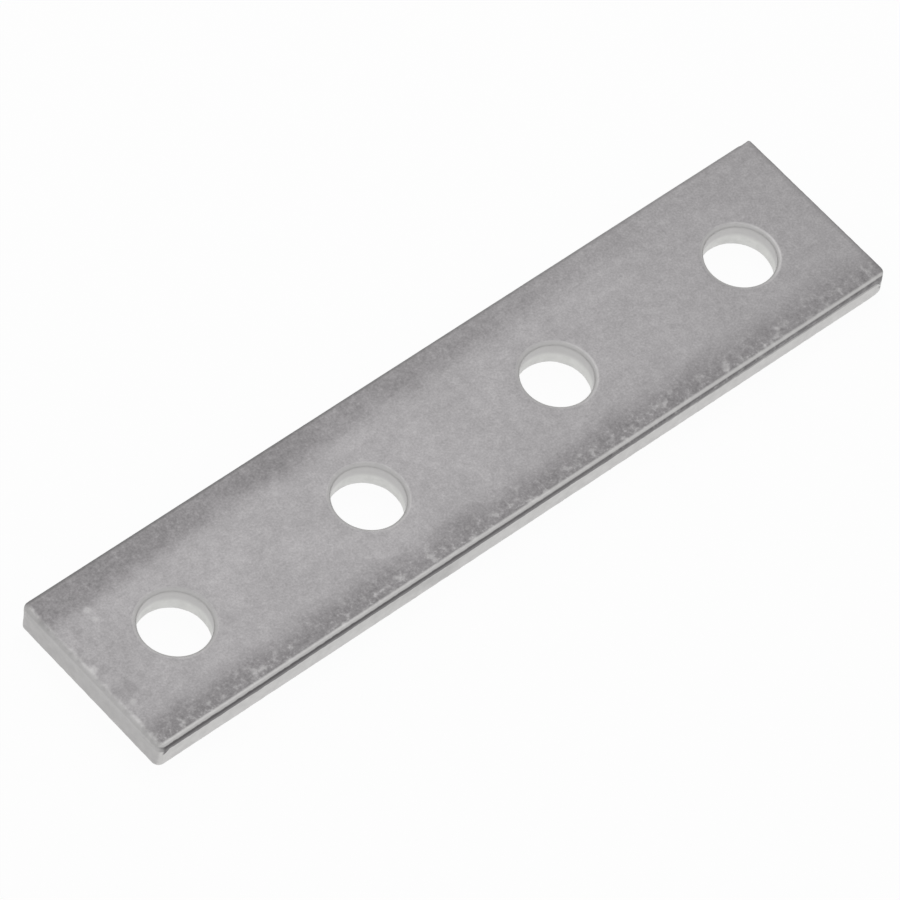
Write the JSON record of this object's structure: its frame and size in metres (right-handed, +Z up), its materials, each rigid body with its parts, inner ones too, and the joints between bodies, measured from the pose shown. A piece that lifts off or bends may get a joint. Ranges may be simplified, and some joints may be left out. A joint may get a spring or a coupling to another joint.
{
  "type": "mending plate",
  "caption": "Flat rectangular mending plate cut from zinc-coated steel bar, with a straight row of round punched bolt holes along its middle.",
  "frame": {"origin": "centre of the plate's outline, on the face it rests on", "axes": "+X along the plate, +Y across it, +Z up out of the resting face"},
  "size_m": [0.184, 0.04, 0.0063],
  "materials": {
    "zinc_coated_steel": "zinc coating on rolled steel: mottled mid grey, semi-matt, streaked along the long edges"
  },
  "bodies": {
    "root": {"mending_plate": "zinc_coated_steel"}
  },
  "joints": []
}
